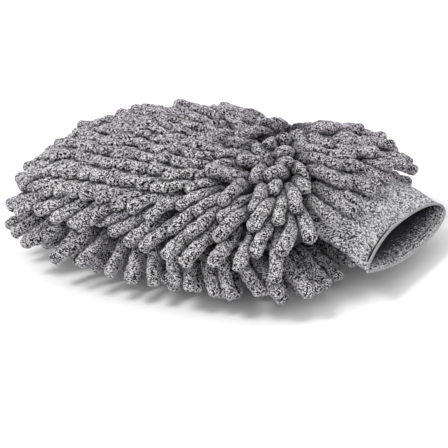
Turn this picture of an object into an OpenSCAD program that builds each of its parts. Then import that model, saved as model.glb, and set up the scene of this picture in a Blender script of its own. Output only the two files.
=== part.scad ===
// Chenille wash mitt: a sewn two-panel pocket covered in noodles, with a doubled rib-knit cuff.
// Millimetres. +X runs from the fingertips to the cuff mouth, +Y across, +Z up.
// The origin is the centre of the bounding box, at the surface the mitt lies on.

/* [Panels] */
// Length of the base panels, fingertip seam to wrist seam
panel_length = 172; // [140:1:200]
// Width of the base panels at their widest
panel_width = 146; // [120:1:170]
// Place of the widest section, from the panel middle towards the wrist
wide_x = 18; // [-10:1:30]
// Thickness of the relaxed pocket with both panels
pocket_height = 32; // [20:1:40]
// Height of the lower panel over the surface, the depth of the lower pile
rest_height = 23.5; // [18:0.5:32]
// How far the wrist end of the pocket sags
wrist_drop = 6; // [0:1:10]
// Thickness of the base cloth
backing_t = 1.6; // [1:0.1:2.5]
// Thickness of the lining
lining_t = 1.2; // [0.8:0.1:2]
// Diameter of the seam beads
seam_d = 3; // [2:0.5:4]

/* [Cuff] */
// Length of the cuff from the wrist seam to the rim
cuff_length = 44; // [40:1:80]
// Flat width at the wrist seam
wrist_width = 80; // [70:1:100]
// Flat width at the mouth
mouth_width = 93; // [80:1:110]
// Height of the relaxed tube at the wrist seam
wrist_height = 20; // [15:1:40]
// Height of the relaxed mouth
mouth_height = 22; // [18:1:45]
// How far the mouth hangs below the wrist seam
cuff_droop = 14; // [0:1:18]
// How far the mouth is bent to the side
cuff_side = 7; // [0:1:20]
// Backward lean of the mouth, millimetres per millimetre of height
mouth_lean = 0.6; // [0:0.05:0.8]
// Turn of the mouth to the side, in degrees
cuff_turn = 6; // [0:1:30]
// Thickness of each knit layer
knit_t = 1.2; // [1:0.1:2]
// Diameter of the rim welt
welt_d = 3.4; // [3:0.1:5]
// Diameter of an elastic thread
elastic_d = 0.6; // [0.4:0.1:1]
// Number of elastic threads
elastic_count = 4; // [2:1:6]
// Spacing of the elastic threads
elastic_pitch = 3; // [2:0.5:5]

/* [Noodles] */
// Diameter of a noodle
noodle_d = 6.6; // [5:0.1:9]
// Length of a noodle
noodle_length = 31; // [24:1:40]
// Rows of noodles on each panel
row_count = 18; // [14:1:20]
// Spacing of the noodles along a row
noodle_pitch = 9.8; // [8.5:0.1:12]
// Lay of the upper noodles where the pile parts, from square to the cloth, in degrees
crown_lay = 18; // [0:1:40]
// Growth of the lay away from the parting
fan_lay = 32; // [10:1:50]
// Lay of the upper noodles at the edge of the panel
edge_lay = 62; // [40:1:90]
// Distance over which the lay grows
lay_spread = 24; // [10:1:60]
// The pile parts along a line: its wrist end, along X
parting_x = 62; // [20:1:80]
// Wrist end of the parting, across
parting_y = -30; // [-50:1:50]
// Far end of the parting, along X
parting_end_x = 26; // [-20:1:80]
// Far end of the parting, across
parting_end_y = 50; // [0:1:60]
// Turn of the noodles beside the cuff towards the mouth, in degrees
cuff_comb = 30; // [0:1:60]
// Random swing of a noodle
scatter = 2; // [0:1:10]

/* [Hidden] */
noodle_r = noodle_d / 2;
reach = noodle_length - noodle_d;
end_x = panel_length / 2;
tip_x = -end_x + 0.8;
mid_z = rest_height + pocket_height / 2;
gap = 0.15;
sharp = 2.2;
edge_row = 0.95;
around = 44;
row_pitch = (panel_length - 8) / (row_count - 1);
lining_in = backing_t + gap;
knit_in = knit_t + elastic_d + 2 * gap;
tip_half_height = backing_t + lining_t + 0.6;

function unit(v) = v / norm(v);
function blend(a, b, t) = a + (b - a) * t;
function curve(t, n) = pow(max(0, 1 - pow(t, n)), 1 / n);
function signed_pow(c, p) = sign(c) * pow(abs(c), p);

// Outline and thickness of the pocket
function to_tip(x) = (wide_x - x) / (wide_x + end_x);
function to_wrist(x) = (x - wide_x) / (end_x - wide_x);
function half_width(x) = x < wide_x
    ? panel_width / 2 * curve(to_tip(x), 3)
    : blend(wrist_width / 2, panel_width / 2, curve(to_wrist(x), 5));
function half_height(x) = x < wide_x
    ? blend(tip_half_height, pocket_height / 2, curve(to_tip(x), 2.1))
    : blend(wrist_height / 2, pocket_height / 2, curve(to_wrist(x), 2));
function mid_height(x) = mid_z - wrist_drop * pow(max(0, (x + end_x) / panel_length), 3);

// Point on the pocket: across runs from -1 to 1, side is 1 for the top and -1 for the underside
function pocket_point(x, across, side) = [
    x,
    half_width(x) * across,
    mid_height(x) + side * half_height(x) * curve(abs(across), sharp)
];
function pocket_normal(x, across, side) =
    let (
        along = pocket_point(x + 0.3, across, side) - pocket_point(x - 0.3, across, side),
        over = pocket_point(x, across + 0.004, side) - pocket_point(x, across - 0.004, side)
    )
    unit(side * cross(along, over));

// Noodle places: rows across the panel, every other row with one noodle fewer, so that they interleave
function row_x(row) = -end_x + 4 + row_pitch * row;
function row_size(row) = max(3, 1 + round(2 * edge_row * half_width(row_x(row)) / noodle_pitch) - row % 2);
function row_across(row, i) = edge_row * (2 * i / (row_size(row) - 1) - 1);
function shake(row, i, side) = scatter * rands(-1, 1, 2, 1000 * (side + 2) + 40 * row + i);
function noodle_root(row, i, side) =
    pocket_point(row_x(row), row_across(row, i), side)
    + (noodle_r - 0.6) * pocket_normal(row_x(row), row_across(row, i), side);

// How close a noodle is to the panel edge: 0 at the middle, 1 at the seams
function closeness(x, across) =
    min(1, pow(pow(abs(across), 3) + pow(abs(x) / end_x * (x > 0 ? 0.62 : 1), 3), 1 / 3));
function clamp(v) = min(1, max(0, v));

// From the nearest point of the parting to a point on the pocket
function from_parting(p) =
    let (
        start = [parting_x, parting_y],
        line = [parting_end_x, parting_end_y] - start
    )
    p - start - clamp((p - start) * line / (line * line)) * line;
function beside_cuff(p) =
    clamp(from_parting(p).x / 20) * clamp((p.y - parting_y) / 20) * clamp((parting_x - p.y) / 15);
function upper_lean(row, i) =
    let (
        root = noodle_root(row, i, 1),
        square = pocket_normal(row_x(row), row_across(row, i), 1),
        away = from_parting([root.x, root.y]),
        middle_lay = crown_lay + fan_lay * (1 - exp(-norm(away) / lay_spread)),
        close = closeness(root.x, row_across(row, i)),
        lay = blend(middle_lay, edge_lay, pow(min(1, close / edge_row), 12)) + shake(row, i, 1)[0],
        heading = atan2(away.y, away.x) - cuff_comb * beside_cuff([root.x, root.y]) + shake(row, i, 1)[1],
        ahead = [cos(heading), sin(heading), 0],
        flat = unit(ahead - (ahead * square) * square)
    )
    cos(lay) * square + sin(lay) * flat;
function lower_lean(row, i) =
    let (
        root = noodle_root(row, i, -1),
        heading = atan2(root.y, root.x) + shake(row, i, -1)[1],
        close = closeness(root.x, row_across(row, i)),
        fall = min(blend(0.95, 0.62, pow(close, 6)), (root.z - noodle_r) / reach),
        out = sqrt(1 - fall * fall)
    )
    [out * cos(heading), out * sin(heading), -fall];
function noodle_lean(row, i, side) = side > 0 ? upper_lean(row, i) : lower_lean(row, i);

// Centre the part on its bounding box
fingertips = [
    for (row = [0:row_count - 1], side = [-1, 1], i = [0:row_size(row) - 1])
        noodle_root(row, i, side) + reach * noodle_lean(row, i, side)
];
low_x = min([for (p = fingertips) p.x]) - noodle_r;
low_y = min([for (p = fingertips) p.y]) - noodle_r;
high_y = max([for (p = fingertips) p.y]) + noodle_r;
high_x = max([for (p = cuff_ring(1, 0)) p.x]) + welt_d / 2;
centre = [-(low_x + high_x) / 2, -(low_y + high_y) / 2, 0];

// Cuff: a flattened tube that sags and turns to the side, t is 0 at the wrist and 1 at the mouth
function cuff_middle(t) = [
    end_x + cuff_length * t,
    -cuff_side * t * t,
    mid_height(end_x) - cuff_droop * (0.6 * t + 0.4 * t * t)
];
function cuff_point(t, angle, inset) =
    let (
        turn = cuff_turn * t,
        wide = blend(wrist_width, mouth_width, t) / 2 - inset,
        high = blend(wrist_height, mouth_height, t) / 2 - inset,
        side = wide * signed_pow(cos(angle), 2 / sharp),
        up = high * signed_pow(sin(angle), 2 / sharp)
    )
    cuff_middle(t) + [side * sin(turn) - mouth_lean * up * t * t, side * cos(turn), up];
function cuff_ring(t, inset) = [for (k = [0:around - 1]) cuff_point(t, 360 * k / around, inset)];
function blend_in(u) = blend(gap, cuff_length - welt_d / 2, u) / cuff_length;

// Closed solid skinned over a list of rings with equal, even counts
module loft(rings, closed = false) {
    n = len(rings[0]);
    m = len(rings);
    walls = [
        for (i = [0:closed ? m - 1 : m - 2], k = [0:n - 1])
            let (next = (i + 1) % m, side = (k + 1) % n)
            each [[i * n + k, i * n + side, next * n + side], [i * n + k, next * n + side, next * n + k]]
    ];
    start = [for (k = [0:n / 2 - 2]) [k, n - 1 - k, n - 2 - k, k + 1]];
    finish = [for (k = [0:n / 2 - 2]) [for (c = [k, k + 1, n - 2 - k, n - 1 - k]) (m - 1) * n + c]];
    polyhedron(points = [for (r = rings) each r], faces = closed ? walls : concat(walls, start, finish));
}

// Thread or bead swept along a path of points that stays roughly square to the direction flat
module bead(path, d, sides, flat, closed = false) {
    n = len(path);
    loft([
        for (i = [0:n - 1])
            let (
                before = closed ? path[(i + n - 1) % n] : path[max(0, i - 1)],
                after = closed ? path[(i + 1) % n] : path[min(n - 1, i + 1)],
                ahead = unit(after - before),
                right = unit(cross(ahead, flat)),
                above = cross(right, ahead)
            )
            [for (k = [0:sides - 1]) path[i] + d / 2 * (cos(360 * k / sides) * right + sin(360 * k / sides) * above)]
    ], closed);
}

// One cloth panel of the pocket: a shell between two insets
module panel(side, inset, thick, steps_x, steps_y) {
    function at(i, j, depth) =
        let (
            x = blend(tip_x, end_x, (1 - cos(180 * i / steps_x)) / 2),
            angle = 180 * j / steps_y,
            wide = half_width(x) - depth,
            high = max(0.3, half_height(x) - depth)
        )
        [x, wide * signed_pow(cos(angle), 2 / sharp), mid_height(x) + side * (gap / 2 + high * pow(sin(angle), 2 / sharp))];
    loft([
        for (i = [0:steps_x])
            [
                for (j = [0:steps_y]) at(i, side > 0 ? j : steps_y - j, inset),
                for (j = [steps_y:-1:0]) at(i, side > 0 ? j : steps_y - j, inset + thick)
            ]
    ]);
}

// One knit layer of the cuff: a tube wall between two insets
module sleeve(inset, steps) {
    loft([
        for (i = [0:steps]) cuff_ring(blend_in(i / steps), inset),
        for (i = [steps:-1:0]) cuff_ring(blend_in(i / steps), inset + knit_t)
    ], true);
}

module upper_backing() {
    color("dimgray") translate(centre) panel(1, 0, backing_t, 20, 14);
}

module lower_backing() {
    color("dimgray") translate(centre) panel(-1, 0, backing_t, 20, 14);
}

module upper_lining() {
    color("gray") translate(centre) panel(1, lining_in, lining_t, 16, 12);
}

module lower_lining() {
    color("gray") translate(centre) panel(-1, lining_in, lining_t, 16, 12);
}

// The seam bead runs from one side of the wrist round the fingertips to the other
module edge_seam() {
    steps = 18;
    out = seam_d / 2 - 0.2;
    side = [
        for (i = [0:steps])
            let (x = blend(tip_x, end_x - 2, (1 - cos(180 * i / steps)) / 2))
            [x - out * pow(1 - i / steps, 4), half_width(x) + out, mid_height(x)]
    ];
    path = concat(
        [for (i = [steps:-1:0]) side[i]],
        [for (i = [0:steps]) [side[i].x, -side[i].y, side[i].z]]
    );
    color("lightgray") translate(centre) bead(path, seam_d, 8, [0, 0, 1]);
}

module wrist_seam() {
    color("lightgray") translate(centre)
        bead(cuff_ring(0, 0.2 - seam_d / 2), seam_d, 8, [1, 0, 0], true);
}

module cuff_outer_layer() {
    color("silver") translate(centre) sleeve(0, 8);
}

module cuff_inner_layer() {
    color("gray") translate(centre) sleeve(knit_in, 8);
}

module cuff_welt() {
    color("white") translate(centre)
        bead(cuff_ring(1, (knit_in + knit_t) / 2), welt_d, 8, [1, 0, 0], true);
}

module cuff_elastic() {
    color("ivory") translate(centre)
        for (k = [0:elastic_count - 1])
            bead(
                cuff_ring(1 - (welt_d + 1 + elastic_pitch * k) / cuff_length, knit_t + gap + elastic_d / 2),
                elastic_d, 4, [1, 0, 0], true
            );
}

// A noodle stands on the origin along +Z, with round ends
module noodle() {
    rotate_extrude($fn = 40)
        intersection() {
            union() {
                circle(noodle_r, $fn = 40);
                translate([0, reach]) circle(noodle_r, $fn = 40);
                translate([-noodle_r, 0]) square([noodle_d, reach]);
            }
            translate([0, -noodle_r]) square([noodle_d, noodle_length]);
        }
}

// One stitching row of noodles on the top, side 1, or the underside, side -1
module noodle_row(row, side) {
    color(side > 0 ? "silver" : "darkgray")
        for (i = [0:row_size(row) - 1]) {
            lean = noodle_lean(row, i, side);
            translate(centre + noodle_root(row, i, side))
                rotate([0, acos(lean.z), atan2(lean.y, lean.x)])
                noodle();
        }
}

upper_backing();
lower_backing();
upper_lining();
lower_lining();
edge_seam();
wrist_seam();
cuff_outer_layer();
cuff_inner_layer();
cuff_welt();
cuff_elastic();
noodle_row(0, 1);  // upper_noodles_01
noodle_row(1, 1);  // upper_noodles_02
noodle_row(2, 1);  // upper_noodles_03
noodle_row(3, 1);  // upper_noodles_04
noodle_row(4, 1);  // upper_noodles_05
noodle_row(5, 1);  // upper_noodles_06
noodle_row(6, 1);  // upper_noodles_07
noodle_row(7, 1);  // upper_noodles_08
noodle_row(8, 1);  // upper_noodles_09
noodle_row(9, 1);  // upper_noodles_10
noodle_row(10, 1);  // upper_noodles_11
noodle_row(11, 1);  // upper_noodles_12
noodle_row(12, 1);  // upper_noodles_13
noodle_row(13, 1);  // upper_noodles_14
noodle_row(14, 1);  // upper_noodles_15
noodle_row(15, 1);  // upper_noodles_16
noodle_row(16, 1);  // upper_noodles_17
noodle_row(17, 1);  // upper_noodles_18
noodle_row(0, -1);  // lower_noodles_01
noodle_row(1, -1);  // lower_noodles_02
noodle_row(2, -1);  // lower_noodles_03
noodle_row(3, -1);  // lower_noodles_04
noodle_row(4, -1);  // lower_noodles_05
noodle_row(5, -1);  // lower_noodles_06
noodle_row(6, -1);  // lower_noodles_07
noodle_row(7, -1);  // lower_noodles_08
noodle_row(8, -1);  // lower_noodles_09
noodle_row(9, -1);  // lower_noodles_10
noodle_row(10, -1);  // lower_noodles_11
noodle_row(11, -1);  // lower_noodles_12
noodle_row(12, -1);  // lower_noodles_13
noodle_row(13, -1);  // lower_noodles_14
noodle_row(14, -1);  // lower_noodles_15
noodle_row(15, -1);  // lower_noodles_16
noodle_row(16, -1);  // lower_noodles_17
noodle_row(17, -1);  // lower_noodles_18
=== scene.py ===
import math

import bpy
import numpy as np
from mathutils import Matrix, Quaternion, Vector
from mathutils.bvhtree import BVHTree


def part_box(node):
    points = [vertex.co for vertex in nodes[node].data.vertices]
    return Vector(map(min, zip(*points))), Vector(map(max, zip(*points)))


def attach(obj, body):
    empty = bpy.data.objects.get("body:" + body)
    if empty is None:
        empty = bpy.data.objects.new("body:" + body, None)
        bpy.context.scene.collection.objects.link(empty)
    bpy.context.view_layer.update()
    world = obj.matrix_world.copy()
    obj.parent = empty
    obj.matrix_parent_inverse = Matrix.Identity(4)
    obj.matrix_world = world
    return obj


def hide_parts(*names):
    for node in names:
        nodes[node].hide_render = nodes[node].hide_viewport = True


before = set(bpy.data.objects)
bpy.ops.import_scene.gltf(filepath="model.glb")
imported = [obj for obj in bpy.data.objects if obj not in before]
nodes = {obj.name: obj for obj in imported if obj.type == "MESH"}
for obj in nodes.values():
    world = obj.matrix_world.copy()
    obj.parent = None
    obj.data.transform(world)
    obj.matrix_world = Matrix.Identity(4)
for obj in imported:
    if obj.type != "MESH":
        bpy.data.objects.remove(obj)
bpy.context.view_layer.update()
MM = 0.001
rng = np.random.default_rng(11)
scene = bpy.context.scene


# ---------------------------------------------------------------- small helpers
def unit(v):
    return v / np.maximum(np.linalg.norm(v, axis=-1, keepdims=True), 1e-12)


def smooth(field, times, axes):
    """A blur that wraps on the axes where the surface is closed."""
    for _ in range(times):
        for axis, wraps in axes:
            if wraps:
                field = 0.5 * field + 0.25 * (np.roll(field, 1, axis) + np.roll(field, -1, axis))
            else:
                pad = [(0, 0)] * field.ndim
                pad[axis] = (1, 1)
                p = np.pad(field, pad, mode="edge")
                n = field.shape[axis]
                low = np.take(p, range(0, n), axis)
                high = np.take(p, range(2, n + 2), axis)
                field = 0.5 * field + 0.25 * (low + high)
    return field / field.std()


def add_mesh(name, verts, faces, values=None):
    """A mesh object from points in millimetres, with named values stored on the points."""
    mesh = bpy.data.meshes.new(name)
    verts = np.asarray(verts, np.float32).reshape(-1, 3) * MM
    faces = [np.asarray(f, np.int32) for f in faces if len(f)]
    sizes = np.concatenate([np.full(len(f), f.shape[1], np.int32) for f in faces])
    loops = np.concatenate([f.ravel() for f in faces])
    mesh.vertices.add(len(verts))
    mesh.vertices.foreach_set("co", verts.ravel())
    mesh.loops.add(len(loops))
    mesh.loops.foreach_set("vertex_index", loops)
    mesh.polygons.add(len(sizes))
    mesh.polygons.foreach_set("loop_start", np.concatenate([[0], np.cumsum(sizes)[:-1]]).astype(np.int32))
    mesh.polygons.foreach_set("loop_total", sizes)
    mesh.polygons.foreach_set("use_smooth", np.ones(len(sizes), bool))
    for key, field in (values or {}).items():
        layer = mesh.attributes.new(key, "FLOAT", "POINT")
        layer.data.foreach_set("value", np.asarray(field, np.float32).ravel())
    mesh.update(calc_edges=True)
    mesh.validate()
    obj = bpy.data.objects.new(name, mesh)
    scene.collection.objects.link(obj)
    return obj


def grid_faces(rows, cols, wrap_rows=False, wrap_cols=True, start=0):
    i = np.arange(rows if wrap_rows else rows - 1)
    k = np.arange(cols if wrap_cols else cols - 1)
    i, k = np.meshgrid(i, k, indexing="ij")
    j, m = (i + 1) % rows, (k + 1) % cols
    quads = np.stack([i * cols + k, i * cols + m, j * cols + m, j * cols + k], -1)
    return quads.reshape(-1, 4) + start


def put(obj, material, slot, *replaced):
    obj.data.materials.append(material)
    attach(obj, "root")
    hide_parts(*replaced)
    return obj


# ---------------------------------------------------------------- the CAD's own shapes, from part.scad
PANEL_L, PANEL_W, WIDE_X, POCKET_H, REST_H, SAG = 172.0, 146.0, 18.0, 32.0, 23.5, 6.0
CUFF_L, WRIST_W, MOUTH_W, WRIST_H, MOUTH_H = 44.0, 80.0, 93.0, 20.0, 22.0
DROOP, SIDE, TURN, LEAN, KNIT_T = 14.0, 7.0, 6.0, 0.6, 1.2
CUFF_WALL = 3.3
SHARP = 2.2
END = PANEL_L / 2
MID = REST_H + POCKET_H / 2


def curve(t, n):
    return np.maximum(0, 1 - np.abs(np.maximum(t, 0)) ** n) ** (1 / n)


def half_width(x):
    tip = PANEL_W / 2 * curve((WIDE_X - x) / (WIDE_X + END), 3)
    wrist = WRIST_W / 2 + (PANEL_W - WRIST_W) / 2 * curve((x - WIDE_X) / (END - WIDE_X), 5)
    return np.where(x < WIDE_X, tip, wrist)


def half_height(x):
    tip = 3.4 + (POCKET_H / 2 - 3.4) * curve((WIDE_X - x) / (WIDE_X + END), 2.1)
    wrist = WRIST_H / 2 + (POCKET_H - WRIST_H) / 2 * curve((x - WIDE_X) / (END - WIDE_X), 2)
    return np.where(x < WIDE_X, tip, wrist)


def mid_height(x):
    return MID - SAG * np.maximum(0, (x + END) / PANEL_L) ** 3


def signed_pow(c, p):
    return np.sign(c) * np.abs(c) ** p


def cuff_point(t, angle, inset):
    """t is 0 at the wrist seam and 1 at the mouth; inset goes in from the outer face."""
    wide = (WRIST_W + (MOUTH_W - WRIST_W) * t) / 2 - inset
    high = (WRIST_H + (MOUTH_H - WRIST_H) * t) / 2 - inset
    across = wide * signed_pow(np.cos(angle), 2 / SHARP)
    up = high * signed_pow(np.sin(angle), 2 / SHARP)
    turn = math.radians(TURN) * t
    return np.stack(
        [
            END + CUFF_L * t + across * np.sin(turn) - LEAN * up * t * t,
            -SIDE * t * t + across * np.cos(turn),
            mid_height(END) - DROOP * (0.6 * t + 0.4 * t * t) + up,
        ],
        -1,
    )


# The CAD centres itself on its box: the shift comes from where its cuff is.
ring = cuff_point(np.array([[0.0], [1.0]]), np.linspace(0, 2 * math.pi, 721)[None], 0.0)
cuff_low, cuff_high = (np.array(c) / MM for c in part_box("cuff_outer_layer"))
SHIFT = np.array([cuff_low[0] - END - 0.15, (cuff_low[1] + cuff_high[1]) / 2, 0.0])
SHIFT[1] -= (ring[1, :, 1].min() + ring[1, :, 1].max()) / 2


# ---------------------------------------------------------------- materials
def material(name, roughness=1.0, sheen=0.25, sheen_rough=0.5):
    mat = bpy.data.materials.new(name)
    mat.use_nodes = True
    tree = mat.node_tree
    bsdf = tree.nodes["Principled BSDF"]
    bsdf.inputs["Roughness"].default_value = roughness
    bsdf.inputs["Specular IOR Level"].default_value = 0.15
    bsdf.inputs["Sheen Weight"].default_value = sheen
    bsdf.inputs["Sheen Roughness"].default_value = sheen_rough
    return mat, tree, bsdf


def node(tree, kind, **settings):
    n = tree.nodes.new(kind)
    for key, value in settings.items():
        if key in n.inputs:
            n.inputs[key].default_value = value
        else:
            setattr(n, key, value)
    return n


def link(tree, a, b):
    tree.links.new(a, b)


def noise(tree, coords, scale, detail=2.0, rough=0.6):
    n = node(tree, "ShaderNodeTexNoise", Scale=scale, Detail=detail, Roughness=rough)
    link(tree, coords, n.inputs["Vector"])
    return n.outputs["Fac"]


def grains(tree, coords, scale):
    """A random value from 0 to 1 for each small cell of the pile."""
    n = node(tree, "ShaderNodeTexVoronoi", Scale=scale)
    link(tree, coords, n.inputs["Vector"])
    split = tree.nodes.new("ShaderNodeSeparateColor")
    link(tree, n.outputs["Color"], split.inputs[0])
    return split.outputs[0]


def ramp(tree, fac, stops):
    n = tree.nodes.new("ShaderNodeValToRGB")
    e = n.color_ramp.elements
    while len(e) < len(stops):
        e.new(0.5)
    for stop, (place, colour) in zip(e, stops):
        stop.position = place
        stop.color = (*colour, 1)
    link(tree, fac, n.inputs["Fac"])
    return n.outputs["Color"]


def math_node(tree, op, a, b=None, c=None):
    n = tree.nodes.new("ShaderNodeMath")
    n.operation = op
    for k, v in enumerate((a, b, c)):
        if v is None:
            continue
        if isinstance(v, (int, float)):
            n.inputs[k].default_value = v
        else:
            link(tree, v, n.inputs[k])
    return n.outputs[0]


def mix(tree, fac, a, b, blend="MIX"):
    n = tree.nodes.new("ShaderNodeMix")
    n.data_type = "RGBA"
    n.blend_type = blend
    for k, v in ((0, fac), (6, a), (7, b)):
        if isinstance(v, (int, float)):
            n.inputs[k].default_value = v
        elif isinstance(v, tuple):
            n.inputs[k].default_value = (*v, 1)
        else:
            link(tree, v, n.inputs[k])
    return n.outputs[2]


def bump(tree, height, distance, bsdf, strength=1.0):
    n = node(tree, "ShaderNodeBump", Strength=strength, Distance=distance)
    link(tree, height, n.inputs["Height"])
    link(tree, n.outputs["Normal"], bsdf.inputs["Normal"])


def attribute(tree, name):
    return node(tree, "ShaderNodeAttribute", attribute_name=name).outputs["Fac"]


def object_coords(tree):
    return node(tree, "ShaderNodeTexCoord").outputs["Object"]


def grey(v, warm=0.0):
    return (v * (1 + warm), v, v * (1 + 0.02 - warm))


def chenille_material(name, light):
    """Speckled microfibre pile: random dark and pale grains with painted shade at the low points between
    tufts, at the roots, between noodles and on the far side, and slow random drifts of tone.
    """
    mat, tree, bsdf = material(name, sheen=0.25)
    at = object_coords(tree)
    tuft = attribute(tree, "tuft")
    fine = noise(tree, at, 1500, 1.0, 0.5)
    relief = math_node(tree, "MULTIPLY_ADD", tuft, 0.2, math_node(tree, "MULTIPLY", fine, 0.8))
    grain = grains(tree, at, 2050)
    # The grains are random; the tuft height adds painted shade, darker at the low points between tufts.
    colour = ramp(
        tree,
        math_node(tree, "ADD", grain, math_node(tree, "MULTIPLY_ADD", tuft, 0.3, -0.15)),
        [
            (0.43, grey(0.002 * light)),
            (0.49, grey(0.06 * light)),
            (0.57, grey(0.26 * light)),
            (0.63, grey(0.62 * light)),
        ],
    )
    # Painted shade at the noodle roots: the colour darkens toward each noodle's stitched end.
    root = ramp(tree, attribute(tree, "root"), [(0.0, (0.06, 0.06, 0.08)), (0.55, (1, 1, 1))])
    colour = mix(tree, 1.0, colour, root, "MULTIPLY")
    # Painted shade between noodles: darker where a noodle lies close to its neighbours.
    crease_painted_shade = ramp(
        tree,
        attribute(tree, "clear"),
        [(0.0, (0.05, 0.05, 0.06)), (0.35, (0.45, 0.45, 0.46)), (0.85, (1, 1, 1))],
    )
    colour = mix(tree, 1.0, colour, crease_painted_shade, "MULTIPLY")
    shade = noise(tree, at, 26, 2.0, 0.5)
    tint = ramp(tree, shade, [(0.35, (0.90, 0.87, 0.92)), (0.65, (1.05, 1.03, 1.03))])
    colour = mix(tree, 1.0, colour, tint, "MULTIPLY")
    # Painted shade on the far side: the pile turns slightly darker and more purple toward +y.
    place = node(tree, "ShaderNodeSeparateXYZ")
    link(tree, at, place.inputs[0])
    far = math_node(tree, "MULTIPLY_ADD", place.outputs[0], -0.25, place.outputs[1])
    far = math_node(tree, "MULTIPLY_ADD", far, 7.0, 0.35)
    far_side_painted_shade = ramp(tree, far, [(0.25, (1, 1, 1)), (0.80, (0.98, 0.915, 0.985))])
    colour = mix(tree, 1.0, colour, far_side_painted_shade, "MULTIPLY")
    link(tree, colour, bsdf.inputs["Base Color"])
    bump(tree, relief, 0.0006, bsdf, 0.6)
    return mat


def knit_material(name, dark, pale, painted_deep_shade=None):
    """Rib knit: the mesh carries the wales, and the speckled yarn is mixed over them with painted shade in
    the grooves; a deep colour paints shade further into the cuff.
    """
    mat, tree, bsdf = material(name, sheen=0.15)
    at = object_coords(tree)
    rib = attribute(tree, "rib")
    fine = noise(tree, at, 1500, 1.0, 0.5)
    relief = math_node(tree, "MULTIPLY_ADD", rib, 0.35, math_node(tree, "MULTIPLY", fine, 0.65))
    grain = math_node(tree, "MULTIPLY_ADD", grains(tree, at, 1600), 0.8, -0.2)
    # The rib value lightens the raised wales and darkens the grooves: painted shade over the random yarn
    # grains.
    speck_and_groove_shade = math_node(tree, "MULTIPLY_ADD", rib, 0.55, grain)
    middle = tuple(0.4 * (a + b) for a, b in zip(dark, pale))
    colour = ramp(tree, speck_and_groove_shade, [(0.38, dark), (0.46, middle), (0.56, pale)])
    shade = noise(tree, at, 45, 2.0, 0.5)
    tint = ramp(tree, shade, [(0.3, (0.90, 0.90, 0.91)), (0.7, (1.04, 1.04, 1.04))])
    colour = mix(tree, 1.0, colour, tint, "MULTIPLY")
    # Painted shade inside the cuff: the yarn fades to a dark navy deeper into the tube.
    if painted_deep_shade:
        ragged = math_node(tree, "MULTIPLY_ADD", fine, 0.5, -0.25)
        reach = math_node(tree, "ADD", attribute(tree, "mouth"), ragged)
        depth = ramp(tree, reach, [(0.84, (1, 1, 1)), (0.95, (0, 0, 0))])
        colour = mix(tree, depth, colour, painted_deep_shade)
    link(tree, colour, bsdf.inputs["Base Color"])
    bump(tree, relief, 0.0004, bsdf, 0.6)
    return mat


def cloth_material(name, dark, pale, scale):
    """Woven cloth or wound thread: the mesh carries the weave, with fine noise over it."""
    mat, tree, bsdf = material(name, sheen=0.1)
    at = object_coords(tree)
    fine = noise(tree, at, scale, 2.0, 0.6)
    weave = attribute(tree, "weave")
    mixed = math_node(tree, "MULTIPLY_ADD", weave, 0.4, math_node(tree, "MULTIPLY", fine, 0.6))
    colour = ramp(tree, mixed, [(0.3, dark), (0.7, pale)])
    link(tree, colour, bsdf.inputs["Base Color"])
    bump(tree, mixed, 0.0003, bsdf, 0.6)
    return mat


pile_top = chenille_material("chenille_pile", 1.0)
# The underside's pile is the same pile darkened to 0.92: painted shade.
pile_under_painted_shade = chenille_material("chenille_pile_under_shaded", 0.92)
rib_knit = knit_material("rib_knit_grey", grey(0.006), grey(0.64))
# A dark navy painted as shade deep inside the cuff.
painted_inner_shade_navy = (0.005, 0.005, 0.016)
inner_knit = knit_material("rib_knit_inside_deep_shade", (0.003, 0.003, 0.006), (0.58, 0.58, 0.60), painted_inner_shade_navy)
# The backing is coloured dark charcoal to stand for the shade in the gaps between noodles: painted shade.
backing_cloth_gap_shade = cloth_material("backing_weave_gap_shade", (0.02, 0.02, 0.022), (0.09, 0.088, 0.095), 900)
lining_cloth = cloth_material("lining_tricot", (0.010, 0.010, 0.014), (0.05, 0.05, 0.06), 1100)
welt_thread = cloth_material("welt_binding", grey(0.04), grey(0.60), 1500)
seam_thread = cloth_material("seam_overlock", grey(0.06), grey(0.28), 1200)
elastic_rubber = cloth_material("elastic_covered_rubber", (0.35, 0.33, 0.30), (0.62, 0.60, 0.56), 1500)


# ---------------------------------------------------------------- noodles: places from the CAD rows
def capsules(name):
    """(end, end) of each straight noodle in a CAD row, in millimetres."""
    mesh = nodes[name].data
    co = np.empty(len(mesh.vertices) * 3, np.float32)
    mesh.vertices.foreach_get("co", co)
    co = co.reshape(-1, 3) / MM
    key = np.round(co * 200).astype(np.int64)
    _, first, back = np.unique(key, axis=0, return_index=True, return_inverse=True)
    back = back.ravel()
    pts = co[first].astype(float)
    ends = np.empty(len(mesh.loops), np.int32)
    mesh.loops.foreach_get("vertex_index", ends)
    tri = back[ends].reshape(-1, 3)
    label = np.arange(len(pts))
    while True:
        low = label[tri].min(1)
        new = label.copy()
        for k in range(3):
            np.minimum.at(new, tri[:, k], low)
        new = new[new]
        if (new == label).all():
            break
        label = new
    out = []
    for value in np.unique(label):
        p = pts[label == value]
        mid = (p.min(0) + p.max(0)) / 2
        axis = np.linalg.svd(p - mid, full_matrices=False)[2][0]
        along = (p - mid) @ axis
        mid = mid + axis * (along.min() + along.max()) / 2
        half = (along.max() - along.min()) / 2 - CORD_R
        out.append((mid - axis * half, mid + axis * half))
    return out


# Radii of the CAD cord and of its fluff, the length and links of a bent noodle, and the reach of the comb.
CORD_R = 3.3
FLUFF_R = 3.5
LENGTH = 33.0
LINKS = 8
COMB = 20.0
STEP = (LENGTH - 2 * FLUFF_R) / (LINKS - 1)


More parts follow.
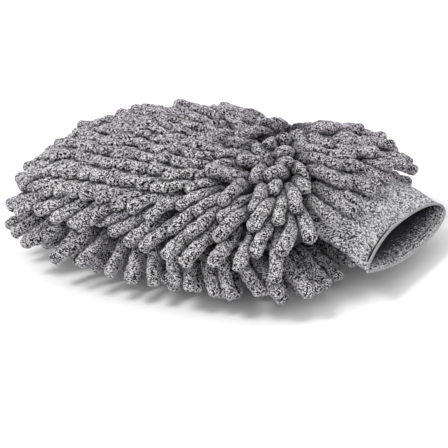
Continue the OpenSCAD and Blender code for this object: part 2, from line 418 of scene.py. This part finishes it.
def outer_surface():
    """One-sided surface of the pocket and the cuff, facing out, for noodles to lie on."""
    verts, tris = [], []
    for name in ("upper_backing", "lower_backing", "cuff_outer_layer"):
        mesh = nodes[name].data
        for poly in mesh.polygons:
            c, n = poly.center / MM, poly.normal
            if name == "cuff_outer_layer":
                t = min(1.0, max(0.0, (c[0] - SHIFT[0] - END) / CUFF_L))
                half = WRIST_W / 2 + (MOUTH_W - WRIST_W) * t / 2
                centre = cuff_point(np.array(t), np.array(0.0), half) + SHIFT
                keep = n[2] * (c[2] - centre[2]) + n[1] * (c[1] - centre[1]) > 0
            else:
                keep = n[2] > 0.02 if name == "upper_backing" else n[2] < -0.02
            if keep:
                base = len(verts)
                verts += [mesh.vertices[v].co / MM for v in poly.vertices]
                tris.append(tuple(range(base, base + len(poly.vertices))))
    return BVHTree.FromPolygons(verts, tris)


surface = outer_surface()


def nearest(points):
    """Offset from the body and outward normal of each point."""
    away, normal = np.zeros_like(points), np.zeros_like(points)
    for k, q in enumerate(points):
        hit = surface.find_nearest(Vector(q))
        away[k] = q - np.array(hit[0])
        normal[k] = np.array(hit[1])
    return away, normal


rows = sorted(n for n in nodes if "_noodles_" in n)
owner, roots, tips = [], [], []
for index, name in enumerate(rows):
    for a, b in capsules(name):
        owner.append(index)
        roots.append(a)
        tips.append(b)
owner, roots, tips = np.array(owner), np.array(roots), np.array(tips)
swap = np.linalg.norm(nearest(tips)[0], axis=1) < np.linalg.norm(nearest(roots)[0], axis=1)
roots[swap], tips[swap] = tips[swap], roots[swap].copy()
leans = unit(tips - roots)
upper = np.array([rows[i].startswith("upper") for i in owner])
count = len(roots)


# ---------------------------------------------------------------- noodles: how they lie
def rest_curves():
    """Where each noodle would lie alone: it leaves its stitch along the CAD lean, then falls over flat.

    The comb direction is the mean of the neighbours' leans. Where they part and cancel, the noodles are
    loose: they fall toward the near side instead, and scatter more.
    """
    normal = nearest(roots)[1]
    flat = unit(leans - (leans * normal).sum(1, keepdims=True) * normal)
    lying = unit(leans * [1, 1, 0.0])
    way = unit(leans + 0.10 * rng.normal(0, 1, (count, 3)))
    curl = rng.normal(0, 1, (count, 3))
    curl = unit(curl - (curl * way).sum(1, keepdims=True) * way) * rng.uniform(0.05, 0.5, (count, 1))
    over = np.where(upper[:, None], flat, lying)
    steep = 1 - normal[:, 2:3]
    near = np.exp(-((roots[:, None] - roots[None]) ** 2).sum(2) / (2 * COMB**2))
    near = near * (upper[:, None] == upper[None])
    drift = near @ over / near.sum(1, keepdims=True)
    loose = 1 - np.linalg.norm(drift, axis=1, keepdims=True)
    over = unit(drift + loose * 0.7 * unit(np.array([-0.25, -1, 0])))
    stray = 0.10 + 0.6 * np.clip(loose - 0.25, 0, 0.5)
    over = unit(over + stray * rng.normal(0, 1, (count, 3)) * [1, 1, 0.3])
    way = unit(way + 0.8 * loose * (normal + over))
    tame = 1 - 0.3 * np.where(upper[:, None], np.clip((roots[:, 1:2] - 8) / 30, 0, 1), 0)
    droop = np.where(upper[:, None], 0.25 + 1.3 * steep, 0.35)
    pts = [roots]
    for k in range(1, LINKS):
        t = (k - 0.5) / (LINKS - 1)
        bend = min(1.0, 1.35 * t) * tame
        step = way * (1 - bend) + over * bend + curl * t - np.array([0, 0, 1.0]) * droop * t * tame
        pts.append(pts[-1] + STEP * unit(step))
    return np.stack(pts, 1), tame


def settle(steps):
    target, tame_of = rest_curves()
    p = target.copy()
    for k in range(LINKS):
        u = k / (LINKS - 1)
        p[:, k] = roots + (0.2 * (target[:, k] - roots) + 0.8 * leans * STEP * k)
    ids = np.repeat(np.arange(count), LINKS)
    fixed = np.tile(np.arange(LINKS), count) == 0
    reach = 2 * FLUFF_R * 0.94
    for it in range(steps):
        pull = 0.10 if it < steps * 0.7 else 0.03
        p[:, 1:] += pull * (target[:, 1:] - p[:, 1:])
        q = p.reshape(-1, 3)
        if it % 6 == 0:
            pairs = []
            for s in range(0, len(q), 400):
                d = ((q[s : s + 400, None] - q[None]) ** 2).sum(-1)
                a, b = np.nonzero(d < (reach + 4) ** 2)
                a = a + s
                ok = ids[a] < ids[b]
                pairs.append(np.stack([a[ok], b[ok]]))
            a, b = np.concatenate(pairs, 1)
            away, normal = nearest(q)
            ground = q - away
        press = np.repeat(np.where(upper, 0.16 * tame_of[:, 0], 0.05), LINKS)[:, None]
        q = q - press * normal * (~fixed)[:, None]
        q[:, 2] -= np.where(fixed, 0, 0.08)
        for _ in range(2):
            gap = q[b] - q[a]
            dist = np.linalg.norm(gap, axis=1)
            hit = (dist < reach) & ~(fixed[a] & fixed[b])
            push = gap[hit] * ((reach - dist[hit]) / np.maximum(dist[hit], 1e-6))[:, None] * 0.3
            move = np.zeros_like(q)
            for axis in range(3):
                ahead = np.bincount(b[hit], push[:, axis], len(q))
                move[:, axis] = ahead - np.bincount(a[hit], push[:, axis], len(q))
            size = np.linalg.norm(move, axis=1, keepdims=True)
            move *= np.minimum(1, 1.3 / np.maximum(size, 1e-9))
            move[fixed] = 0
            q = q + move
            depth = FLUFF_R * 0.9 - ((q - ground) * normal).sum(1)
            near = np.linalg.norm(q - ground, axis=1) < 14
            q += normal * np.where((depth > 0) & near & ~fixed, np.minimum(depth, 1.5), 0)[:, None]
        q[:, 2] = np.maximum(q[:, 2], FLUFF_R - 0.2)
        p = q.reshape(count, LINKS, 3)
        p[:, 0] = roots
        p[:, 1:-1] += 0.12 * (p[:, :-2] + p[:, 2:] - 2 * p[:, 1:-1])
        for k in range(1, LINKS):
            p[:, k] = p[:, k - 1] + unit(p[:, k] - p[:, k - 1]) * STEP
    return p


lie = settle(90)


# ---------------------------------------------------------------- noodles: the fluffy cords
AROUND = 40
BODY_RINGS = 48


def noodle_mesh(chains, seed):
    """Bent cords of tufted pile through the settled links: points, faces, the tuft height and the fraction
    along each noodle that sets the painted root shade.
    """
    r = np.random.default_rng(seed)
    m = len(chains)
    first = chains[:, 0] - unit(chains[:, 1] - chains[:, 0]) * FLUFF_R * 0.6
    last = chains[:, -1] + unit(chains[:, -1] - chains[:, -2]) * FLUFF_R
    line = np.concatenate([first[:, None], chains, last[:, None]], 1)
    for _ in range(2):
        line = np.concatenate([line[:, :1], (line[:, :-1] + line[:, 1:]) / 2, line[:, -1:]], 1)
    lengths = np.linalg.norm(np.diff(line, axis=1), axis=2)
    total = lengths.sum(1)
    at = np.concatenate([np.zeros((m, 1)), np.cumsum(lengths, 1)], 1)
    tip = FLUFF_R * 0.95
    u_root = tip * (1 - np.cos(np.linspace(0.25, math.pi / 2, 4)))
    u_tip = tip * (1 - np.cos(np.linspace(math.pi / 2, 0.12, 8)))
    ring_s = np.concatenate(
        [
            np.repeat(u_root[None, :-1], m, 0),
            tip + (total[:, None] - 2 * tip) * np.linspace(0, 1, BODY_RINGS)[None],
            total[:, None] - u_tip[None, 1:],
        ],
        1,
    )
    k = ring_s.shape[1]
    centre = np.empty((m, k, 3))
    for i in range(m):
        for axis in range(3):
            centre[i, :, axis] = np.interp(ring_s[i], at[i], line[i, :, axis])
    centre[:, 3:-3] = (centre[:, 2:-4] + 2 * centre[:, 3:-3] + centre[:, 4:-2]) / 4
    end_gap = np.minimum(ring_s, total[:, None] - ring_s) / tip
    cap = np.where(end_gap < 1, np.sqrt(np.maximum(1 - (1 - np.minimum(end_gap, 1)) ** 2.3, 0)), 1)
    tangent = unit(np.gradient(centre, axis=1))
    side = unit(np.cross(tangent[:, 0], np.array([0.31, 0.17, 0.94])))
    frames = []
    for j in range(k):
        side = unit(side - (side * tangent[:, j]).sum(1, keepdims=True) * tangent[:, j])
        frames.append(side)
    side = np.stack(frames, 1)
    other = np.cross(tangent, side)
    angle = np.linspace(0, 2 * math.pi, AROUND, endpoint=False)
    turn = angle[None, None, :, None]
    out = side[:, :, None] * np.cos(turn) + other[:, :, None] * np.sin(turn)
    fine = smooth(r.normal(size=(m, k, AROUND)), 1, ((1, False), (2, True)))
    full = np.minimum(1, cap[:, :, None] * 1.4)
    fine = fine * full + fine.mean(2, keepdims=True) * (1 - full)
    lump = smooth(r.normal(size=(m, k, AROUND)), 9, ((1, False), (2, True)))
    beads = smooth(r.normal(size=(m, k)), 2, ((1, False),))
    girth = FLUFF_R * r.uniform(0.94, 1.06, (m, 1)) * (1 + 0.02 * beads)
    fluff = (0.20 * fine + 0.16 * lump) * np.clip(cap[:, :, None] * 1.3, 0, 1)
    radius = girth[:, :, None] * cap[:, :, None] + fluff
    pts = centre[:, :, None] + out * radius[..., None]
    tuft = np.clip(0.5 + 0.22 * fine, 0, 1)
    # Fraction along each noodle from its root, stored as the root value that paints shade toward the root.
    painted_root_shade_along = np.broadcast_to((ring_s / total[:, None])[:, :, None], tuft.shape)
    faces = [grid_faces(k, AROUND, start=i * k * AROUND) for i in range(m)]
    ends = []
    for i in range(m):
        base = i * k * AROUND
        ends.append(np.arange(AROUND)[::-1] + base)
        ends.append(np.arange(AROUND) + base + (k - 1) * AROUND)
    return pts, [np.concatenate(faces)[:, ::-1], np.array(ends)[:, ::-1]], {"tuft": tuft, "root": painted_root_shade_along}


# Beyond this distance from its neighbours' fluff a noodle gets no painted shade.
CREASE_SHADE_REACH = 2.2
axes = np.concatenate([lie, (lie[:, 1:] + lie[:, :-1]) / 2], 1).astype(np.float32)


def clearance(pts, own):
    """How far each point of a noodle stands clear of the other noodles: 0 against their fluff, 1 in the
    open; it sets the painted shade between noodles.
    """
    gap = np.linalg.norm(axes[:, None] - axes[own][None, :, None], axis=3).min((1, 2))
    gap[own] = np.inf
    others = axes[gap < 2 * FLUFF_R + CREASE_SHADE_REACH + 1].reshape(-1, 3)
    if not len(others):
        return np.ones(pts.shape[:-1])
    p = pts.reshape(-1, 3).astype(np.float32)
    square = (p**2).sum(1)[:, None] + (others**2).sum(1)[None] - 2 * p @ others.T
    away = np.sqrt(np.maximum(square.min(1), 0))
    return np.clip((away - FLUFF_R) / CREASE_SHADE_REACH, 0, 1).reshape(pts.shape[:-1])


for index, name in enumerate(rows):
    mine = np.flatnonzero(owner == index)
    pts, faces, values = noodle_mesh(lie[mine], 100 + index)
    # The clear value darkens the pile where noodles touch: painted shade.
    values["clear"] = np.stack([clearance(p, own) for p, own in zip(pts, mine)])
    obj = add_mesh(name.replace("noodles", "pile"), pts, faces, values)
    put(obj, pile_top if name.startswith("upper") else pile_under_painted_shade, "chenille", name)


# ---------------------------------------------------------------- pocket: backings and linings
def panel_shell(name, side, inset, thick, replaced, mat, slot, rows_n=110, cols_n=84):
    def at(depth, lift):
        x = -END + 0.8 + (PANEL_L - 0.8) * (1 - np.cos(np.linspace(0, math.pi, rows_n))) / 2
        a = np.linspace(0, math.pi, cols_n)
        x, a = np.meshgrid(x, a, indexing="ij")
        wide = half_width(x) - depth
        high = np.maximum(0.3, half_height(x) - depth + lift)
        z = mid_height(x) + side * (0.08 + high * np.maximum(np.sin(a), 0) ** (2 / SHARP))
        return np.stack([x, wide * signed_pow(np.cos(a), 2 / SHARP), z], -1) + SHIFT

    ripple = 0.18 * smooth(rng.normal(size=(rows_n, cols_n)), 3, ((0, False), (1, False)))
    weave = smooth(rng.normal(size=(rows_n, cols_n)), 1, ((0, False), (1, False)))
    weave = np.clip(0.5 + 0.3 * weave, 0, 1)
    outer = at(inset, ripple * np.sin(np.linspace(0, math.pi, cols_n))[None])
    inner = at(inset + thick, ripple * np.sin(np.linspace(0, math.pi, cols_n))[None])
    pts = np.concatenate([outer, inner[:, ::-1]], 1)
    cols = 2 * cols_n
    faces = grid_faces(rows_n, cols)
    k = np.arange(cols_n - 1)
    start = np.stack([k, cols - 1 - k, cols - 2 - k, k + 1], -1)
    finish = np.stack([k, k + 1, cols - 2 - k, cols - 1 - k], -1) + (rows_n - 1) * cols
    quads = np.concatenate([faces, start, finish])
    if side < 0:
        quads = quads[:, ::-1]
    obj = add_mesh(name, pts, [quads], {"weave": np.concatenate([weave, weave[:, ::-1]], 1)})
    put(obj, mat, slot, replaced)
    return obj


panel_shell("upper_backing_cloth", 1, 0, 1.6, "upper_backing", backing_cloth_gap_shade, "backing")
panel_shell("lower_backing_cloth", -1, 0, 1.6, "lower_backing", backing_cloth_gap_shade, "backing")
panel_shell("upper_lining_cloth", 1, 1.75, 1.2, "upper_lining", lining_cloth, "lining", 80, 60)
panel_shell("lower_lining_cloth", -1, 1.75, 1.2, "lower_lining", lining_cloth, "lining", 80, 60)


# ---------------------------------------------------------------- seams: overlocked beads
def bead_parts(path, radius, closed, pitch, sides, depth):
    """A bead bound with thread that winds round it."""
    path = np.asarray(path, float)
    ys = np.concatenate([path, path[:1]]) if closed else path
    run = np.concatenate([[0], np.cumsum(np.linalg.norm(np.diff(ys, axis=0), axis=1))])
    length = run[-1]
    n = int(length / 0.45)
    s = np.linspace(0, length, n, endpoint=not closed)
    mid = np.stack([np.interp(s, run, ys[:, a]) for a in range(3)], -1)
    ahead = unit(np.roll(mid, -1, 0) - np.roll(mid, 1, 0)) if closed else unit(np.gradient(mid, axis=0))
    right = unit(np.cross(ahead, np.array([1.0, 0, 0]) if closed else np.array([0, 0, 1.0])))
    above = np.cross(right, ahead)
    a = np.linspace(0, 2 * math.pi, sides, endpoint=False)
    turns = max(1, round(length / pitch))
    wind = np.cos(2 * math.pi * s[:, None] * turns / length + a[None])
    r = radius + depth * wind + 0.2 * depth * rng.normal(size=wind.shape)
    turn = a[None, :, None]
    out = right[:, None] * np.cos(turn) + above[:, None] * np.sin(turn)
    pts = mid[:, None] + out * r[..., None]
    faces = grid_faces(n, sides, wrap_rows=closed)
    ends = None if closed else np.array([np.arange(sides)[::-1], np.arange(sides) + (n - 1) * sides])
    return pts.reshape(-1, 3), faces, ends, np.clip(0.5 + 0.4 * wind, 0, 1).ravel()


def bead(name, paths, radius, closed, mat, slot, replaced, pitch=2.2, sides=14, depth=0.16):
    pts, quads, caps, weave, start = [], [], [], [], 0
    for path in paths:
        p, f, e, w = bead_parts(path, radius, closed, pitch, sides, depth)
        pts.append(p)
        quads.append(f + start)
        weave.append(w)
        if e is not None:
            caps.append(e + start)
        start += len(p)
    faces = [np.concatenate(quads)] + ([np.concatenate(caps)] if caps else [])
    obj = add_mesh(name, np.concatenate(pts), faces, {"weave": np.concatenate(weave)})
    return put(obj, mat, slot, replaced)


xs = -END + 0.8 + (PANEL_L - 2.8) * (1 - np.cos(np.linspace(0, math.pi, 60))) / 2
out = 1.3
edge = np.stack([xs - out * (1 - np.linspace(0, 1, 60)) ** 4, half_width(xs) + out, mid_height(xs)], -1)
edge_path = np.concatenate([edge[::-1], edge * [1, -1, 1]]) + SHIFT
bead("edge_overlock", [edge_path], 1.35, False, seam_thread, "thread", "edge_seam")
angles = np.linspace(0, 2 * math.pi, 241)[:-1]
wrist_path = cuff_point(np.zeros(240), angles, -1.3) + SHIFT
bead("wrist_overlock", [wrist_path], 1.35, True, seam_thread, "thread", "wrist_seam")


# ---------------------------------------------------------------- cuff
def relaxed(t, angle, inset):
    """The CAD cuff with its near corner pinched to a fold and its lower lip flattened, in the frame."""
    p = cuff_point(t, angle, inset)
    middle = cuff_point(t, np.zeros_like(angle), inset)[..., 2]
    corner = np.maximum(0, -np.cos(angle)) ** 2
    low = np.sin(angle) < 0
    keep = 1 - t * t * (0.14 + 0.50 * corner + 0.14 * low)
    z = middle + (p[..., 2] - middle) * keep
    p[..., 0] += LEAN * (p[..., 2] - z) * t * t
    p[..., 2] = z
    return p + SHIFT


def even_angles(n, t, inset):
    """Angles round the cuff at equal steps of cloth."""
    fine = np.linspace(0, 2 * math.pi, 4001)
    p = cuff_point(np.full(fine.shape, t), fine, inset)
    run = np.concatenate([[0], np.cumsum(np.linalg.norm(np.diff(p, axis=0), axis=1))])
    return np.interp(np.linspace(0, run[-1], n, endpoint=False), run, fine)


ROUND = 900
WALES = ROUND // 6
angles = even_angles(ROUND, 0.8, 0.0)
t_rim = 1 - 1.7 / CUFF_L


def cuff_layer(name, inset_face, inset_back, replaced, mat, slot, face_out):
    rows_n = 64
    t_face = np.linspace(0.15 / CUFF_L, t_rim, rows_n)
    fold = np.linspace(0, 1, 7)[1:]
    t_fold = t_rim + (1 - t_rim) * np.sin(fold * math.pi / 2)
    t = np.concatenate([t_face, t_fold, [t_rim], np.linspace(t_rim, 0.15 / CUFF_L, 12)])
    lip = 1.15
    taper = np.clip((t_face * CUFF_L - (CUFF_L - 9)) / 7, 0, 1)
    taper = taper * taper * (3 - 2 * taper)
    mid = CUFF_WALL / 2
    inset = np.concatenate(
        [
            inset_face + (mid + (lip if inset_face > mid else -lip) * 0.72 - inset_face) * taper,
            mid + (lip if inset_face > mid else -lip) * 0.72 * np.cos(fold * math.pi / 2),
            [mid],
            np.full(12, inset_back),
        ]
    )
    tt, aa = np.meshgrid(t, angles, indexing="ij")
    wale = np.arange(ROUND)[None] * (2 * math.pi * WALES / ROUND)
    near = np.clip((t[:, None] * CUFF_L - (CUFF_L - 16)) / 7, 0, 1)
    near = near * near * (3 - 2 * near)
    wander = 0.35 * smooth(rng.normal(size=(len(t), ROUND)), 8, ((0, False), (1, True)))
    ribs = np.cos(wale + wander * (1 - 0.6 * near))
    on_face = np.concatenate([np.ones(rows_n), np.linspace(1, 0.4, 6), [0.2], np.zeros(12)])[:, None]
    # The rib value carries the relief and also the painted shade in the grooves.
    if face_out:
        lift = ribs * (0.05 + 0.17 * near)
        rib_relief_and_groove_shade = 0.5 + ribs * (0.10 + 0.30 * near)
    else:
        courses = np.cos(2 * math.pi * (tt * CUFF_L + 0.25 * wander) / 1.45)
        lift = -(0.15 * courses + 0.08 * ribs)
        rib_relief_and_groove_shade = 0.5 + 0.32 * courses + 0.10 * ribs
    slub = smooth(rng.normal(size=(len(t), ROUND)), 1, ((0, False), (1, True)))
    lift = lift + 0.05 * slub
    soft = smooth(rng.normal(size=(len(t), ROUND // 8)), 10, ((0, False), (1, True)))
    coarse = np.arange(ROUND // 8) * 8
    soft = np.stack([np.interp(np.arange(ROUND), coarse, row, period=ROUND) for row in soft])
    pts = relaxed(tt, aa, inset[:, None] - lift * on_face)
    pts[..., 2] += 0.25 * soft * np.clip(tt * 3, 0, 1)
    quads = grid_faces(len(t), ROUND, wrap_rows=True)
    if not face_out:
        quads = quads[:, ::-1]
    # The mouth value sets the painted shade inside: the dark reaches nearly to the lip on the upper inner
    # wall.
    mouth = tt - 0.22 * np.clip(np.sin(aa) * 3, 0, 1)
    obj = add_mesh(name, pts, [quads], {"rib": np.clip(rib_relief_and_groove_shade, 0, 1), "mouth": mouth})
    put(obj, mat, slot, replaced)
    return obj


cuff_out = cuff_layer("cuff_rib_outer", 0.0, KNIT_T, "cuff_outer_layer", rib_knit, "rib_knit", True)
hidden = CUFF_WALL - KNIT_T
cuff_in = cuff_layer(
    "cuff_rib_inner", CUFF_WALL, hidden, "cuff_inner_layer", inner_knit, "cuff_lining", False
)

rim = relaxed(np.full(360, 1.0), even_angles(360, 1.0, 1.4), 1.4)
bead("cuff_rim_welt", [rim], 0.75, True, welt_thread, "welt", "cuff_welt", pitch=1.5, sides=12, depth=0.10)
thread_angles = even_angles(360, 1.0, 1.6)
threads = [relaxed(np.full(360, 1 - (4.4 + 3 * k) / CUFF_L), thread_angles, 1.65) for k in range(4)]
rubber = {"pitch": 1.2, "sides": 8, "depth": 0.02}
bead("cuff_elastic_threads", threads, 0.29, True, elastic_rubber, "elastic", "cuff_elastic", **rubber)


# ---------------------------------------------------------------- floor, light, camera
FLOOR_HALF = 4000.0
corners = FLOOR_HALF * np.array([[-1, -1, 0], [1, -1, 0], [1, 1, 0], [-1, 1, 0]])
floor = add_mesh("studio_floor", corners, [np.array([[0, 1, 2, 3]])])
pale, tree, bsdf = material("studio_paper", 0.9, 0.0)
paper = noise(tree, object_coords(tree), 30, 2.0, 0.5)
paper = ramp(tree, paper, [(0.3, (0.93, 0.93, 0.93)), (0.7, (0.95, 0.95, 0.95))])
link(tree, paper, bsdf.inputs["Base Color"])
floor.data.materials.append(pale)

world = bpy.data.worlds.new("studio")
world.use_nodes = True
world.node_tree.nodes["Background"].inputs["Color"].default_value = (1, 1, 1, 1)
world.node_tree.nodes["Background"].inputs["Strength"].default_value = 1.0
scene.world = world
scene.view_settings.view_transform = "Standard"


def area_light(name, place, target, size, power):
    data = bpy.data.lights.new(name, "AREA")
    data.shape = "DISK"
    data.size = size
    data.energy = power
    lamp = bpy.data.objects.new(name, data)
    lamp.location = place
    lamp.rotation_mode = "QUATERNION"
    lamp.rotation_quaternion = (Vector(target) - Vector(place)).to_track_quat("-Z", "Y")
    scene.collection.objects.link(lamp)


area_light("key", (-0.45, -0.55, 1.05), (0, 0, 0.04), 0.4, 8)

# The photograph's view: the picture's width at the mitt, and where the mitt's middle sits in it, in metres.
AZ, EL, ROLL = math.radians(30.6), math.radians(23.0), math.radians(4.7)
DISTANCE = 0.65
right = Vector((math.cos(AZ), math.sin(AZ), 0))
back = Vector((math.sin(AZ) * math.cos(EL), -math.cos(AZ) * math.cos(EL), math.sin(EL)))
up = back.cross(right)
PICTURE_W = 0.25821
RIGHT_OF, BELOW = 0.00173, 0.02824
aim = Vector((0, 0, 0.04))
data = bpy.data.cameras.new("camera")
data.sensor_width = 36
data.lens = data.sensor_width * DISTANCE / PICTURE_W
data.clip_start = 0.01
data.clip_end = 100
cam = bpy.data.objects.new("camera", data)
cam.rotation_mode = "QUATERNION"
cam.rotation_quaternion = Quaternion(back, -ROLL) @ (-back).to_track_quat("-Z", "Y")
offset = cam.rotation_quaternion @ Vector((RIGHT_OF, -BELOW, 0))
cam.location = aim + offset + back * DISTANCE
scene.collection.objects.link(cam)
scene.camera = cam
